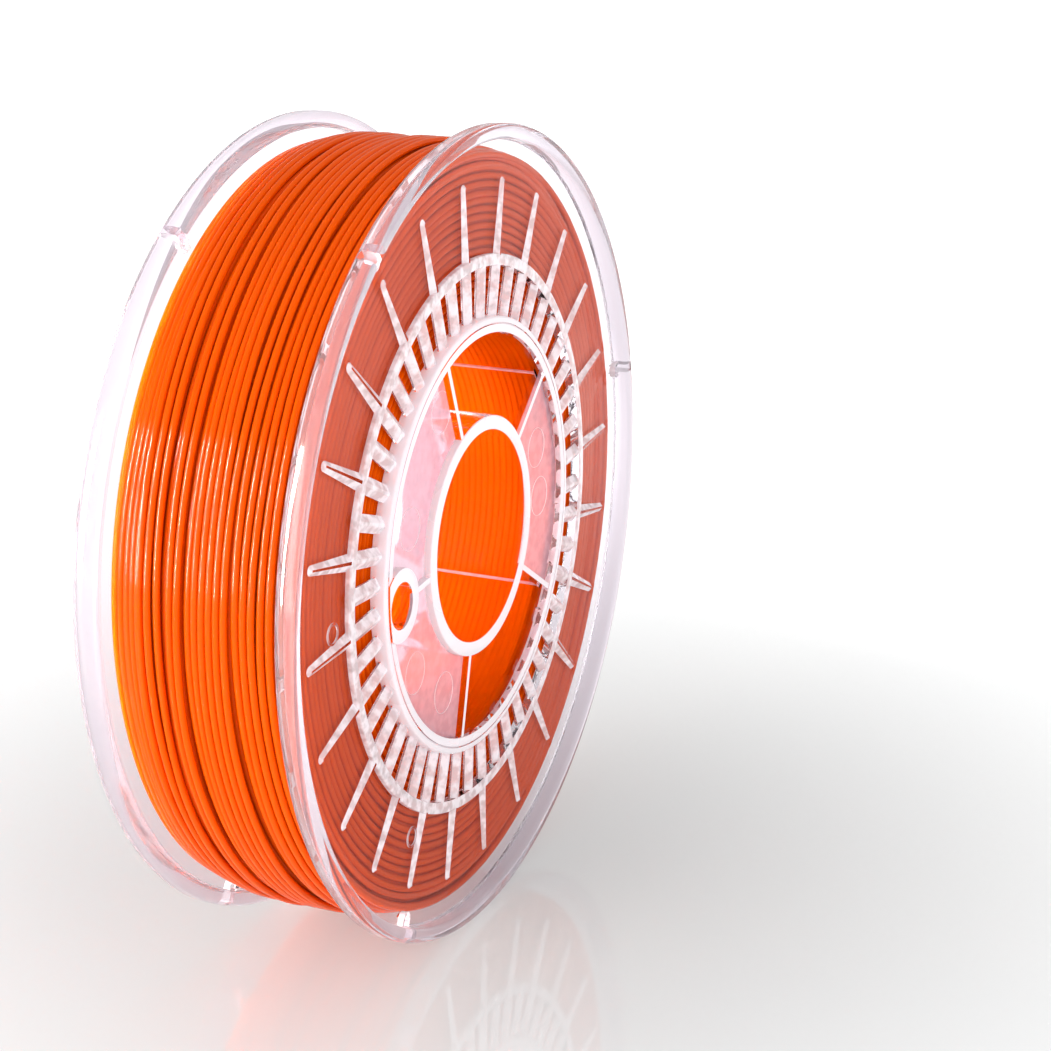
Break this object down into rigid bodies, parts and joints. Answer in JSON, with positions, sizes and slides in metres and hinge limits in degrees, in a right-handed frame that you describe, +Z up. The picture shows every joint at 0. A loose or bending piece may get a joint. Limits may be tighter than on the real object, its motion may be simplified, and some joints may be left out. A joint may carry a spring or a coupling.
{
  "type": "filament spool",
  "caption": "Clear plastic spool with ribbed, windowed flanges and a round centre bore, wound nearly full of glossy orange 3-D printer filament.",
  "frame": {"origin": "Middle of the spool, on the bore axis", "axes": "+Y along the spool axis from the front flange to the rear flange; +Z up as the spool stands on its rims"},
  "size_m": [0.2, 0.0546, 0.2],
  "materials": {
    "clear_plastic": "gloss",
    "filament": "gloss"
  },
  "bodies": {
    "root": {"front_flange_plate": "clear_plastic", "front_rim_bead": "clear_plastic", "front_rib_ring": "clear_plastic", "front_spike_ribs": "clear_plastic", "front_window_bars": "clear_plastic", "front_hub_collar": "clear_plastic", "front_collar_teeth": "clear_plastic", "front_hub_spokes": "clear_plastic", "front_hub_panels": "clear_plastic", "front_bore_tube": "clear_plastic", "front_drive_boss": "clear_plastic", "front_filament_clips": "clear_plastic", "front_gate_marks": "clear_plastic", "rear_flange_plate": "clear_plastic", "rear_rim_bead": "clear_plastic", "rear_rib_ring": "clear_plastic", "rear_spike_ribs": "clear_plastic", "rear_window_bars": "clear_plastic", "rear_hub_collar": "clear_plastic", "rear_collar_teeth": "clear_plastic", "rear_hub_spokes": "clear_plastic", "rear_hub_panels": "clear_plastic", "rear_bore_tube": "clear_plastic", "rear_drive_boss": "clear_plastic", "rear_filament_clips": "clear_plastic", "rear_gate_marks": "clear_plastic", "drum": "clear_plastic", "filament_winding": "filament"}
  },
  "joints": []
}
